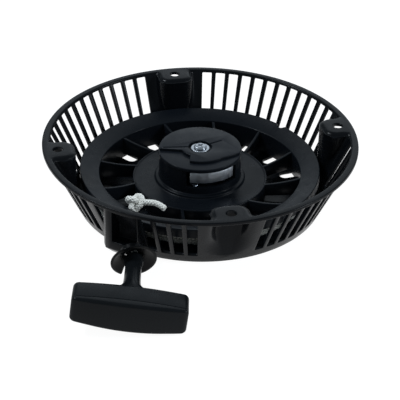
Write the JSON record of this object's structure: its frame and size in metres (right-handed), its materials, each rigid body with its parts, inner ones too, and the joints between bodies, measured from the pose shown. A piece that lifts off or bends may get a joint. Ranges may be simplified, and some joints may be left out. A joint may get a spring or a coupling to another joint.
{
  "type": "recoil starter",
  "caption": "Round slotted recoil starter housing with a rope pulley, drive hub, pawl and T-shaped pull handle.",
  "frame": {"origin": "centre of the housing's closed outer face, on the pulley's axis", "axes": "+Z along the pulley's axis towards the open side that faces the engine, -Y the way the rope handle is pulled, +X to the right seen from the handle"},
  "size_m": [0.22, 0.2788, 0.0455],
  "materials": {
    "housing_plastic": "moulded satin",
    "pulley_plastic": "moulded satin",
    "cam_plastic": "moulded satin",
    "handle_plastic": "moulded semi-gloss",
    "guide_steel": "black, semi-gloss",
    "insert_brass": "machined",
    "screw_steel": "bright zinc plating",
    "plain_steel": "zinc plating",
    "pawl_steel": "tumbled steel",
    "spring_steel": "oiled spring steel",
    "washer_plastic": "natural acetal",
    "rope": "braided polyester"
  },
  "bodies": {
    "housing": {"starter_housing": "housing_plastic", "rope_guide": "guide_steel", "post_insert": "insert_brass", "center_screw": "screw_steel", "screw_washer": "screw_steel", "thrust_washer": "washer_plastic", "hub_washer": "plain_steel", "brake_spring": "spring_steel"},
    "pulley": {"rope_pulley": "pulley_plastic", "pulley_bushing": "washer_plastic", "rewind_spring": "spring_steel", "spring_keeper": "plain_steel", "rope_coil": "rope", "rope_inner_knot": "rope", "pawl_pin": "plain_steel", "pawl_spring": "spring_steel"},
    "cam": {"cam_plate": "cam_plastic"},
    "pawl": {"pawl": "pawl_steel"},
    "rope_line": {"rope_run": "rope", "rope_lead": "rope", "handle_washer": "plain_steel", "rope_outer_knot": "rope"},
    "handle": {"handle_grip": "handle_plastic", "handle_cap": "handle_plastic"}
  },
  "joints": [
    {"name": "pulley_spin", "type": "hinge", "parent": "housing", "child": "pulley", "pos_m": [0, 0, 0.012], "axis": [0, 0, 1], "range_deg": [0, 900], "stiffness_Nm_per_rad": 0.06, "springref_deg": -269.29, "deforming": ["rewind_spring"]},
    {"name": "cam_turn", "type": "hinge", "parent": "pulley", "child": "cam", "pos_m": [0, 0, 0.034], "axis": [0, 0, 1], "range_deg": [-30, 0]},
    {"name": "pawl_swing", "type": "hinge", "parent": "pulley", "child": "pawl", "pos_m": [-0.00348, -0.02476, 0.0288], "axis": [0, 0, 1], "range_deg": [-24, 0]},
    {"name": "handle_pull", "type": "slide", "parent": "housing", "child": "rope_line", "axis": [0, -1, 0], "range_m": [0, 1.2], "deforming": ["rope_run"]},
    {"name": "handle_swivel", "type": "hinge", "parent": "rope_line", "child": "handle", "pos_m": [-0.04101, -0.1475, 0.0146], "axis": [0, -1, 0], "range_deg": [-180, 180]}
  ],
  "couplings": [
    {"joint": "handle_pull", "follows": "pulley_spin", "m_per_rad": 0.07605},
    {"joint": "pawl_swing", "follows": "cam_turn", "ratio": 0.8}
  ]
}
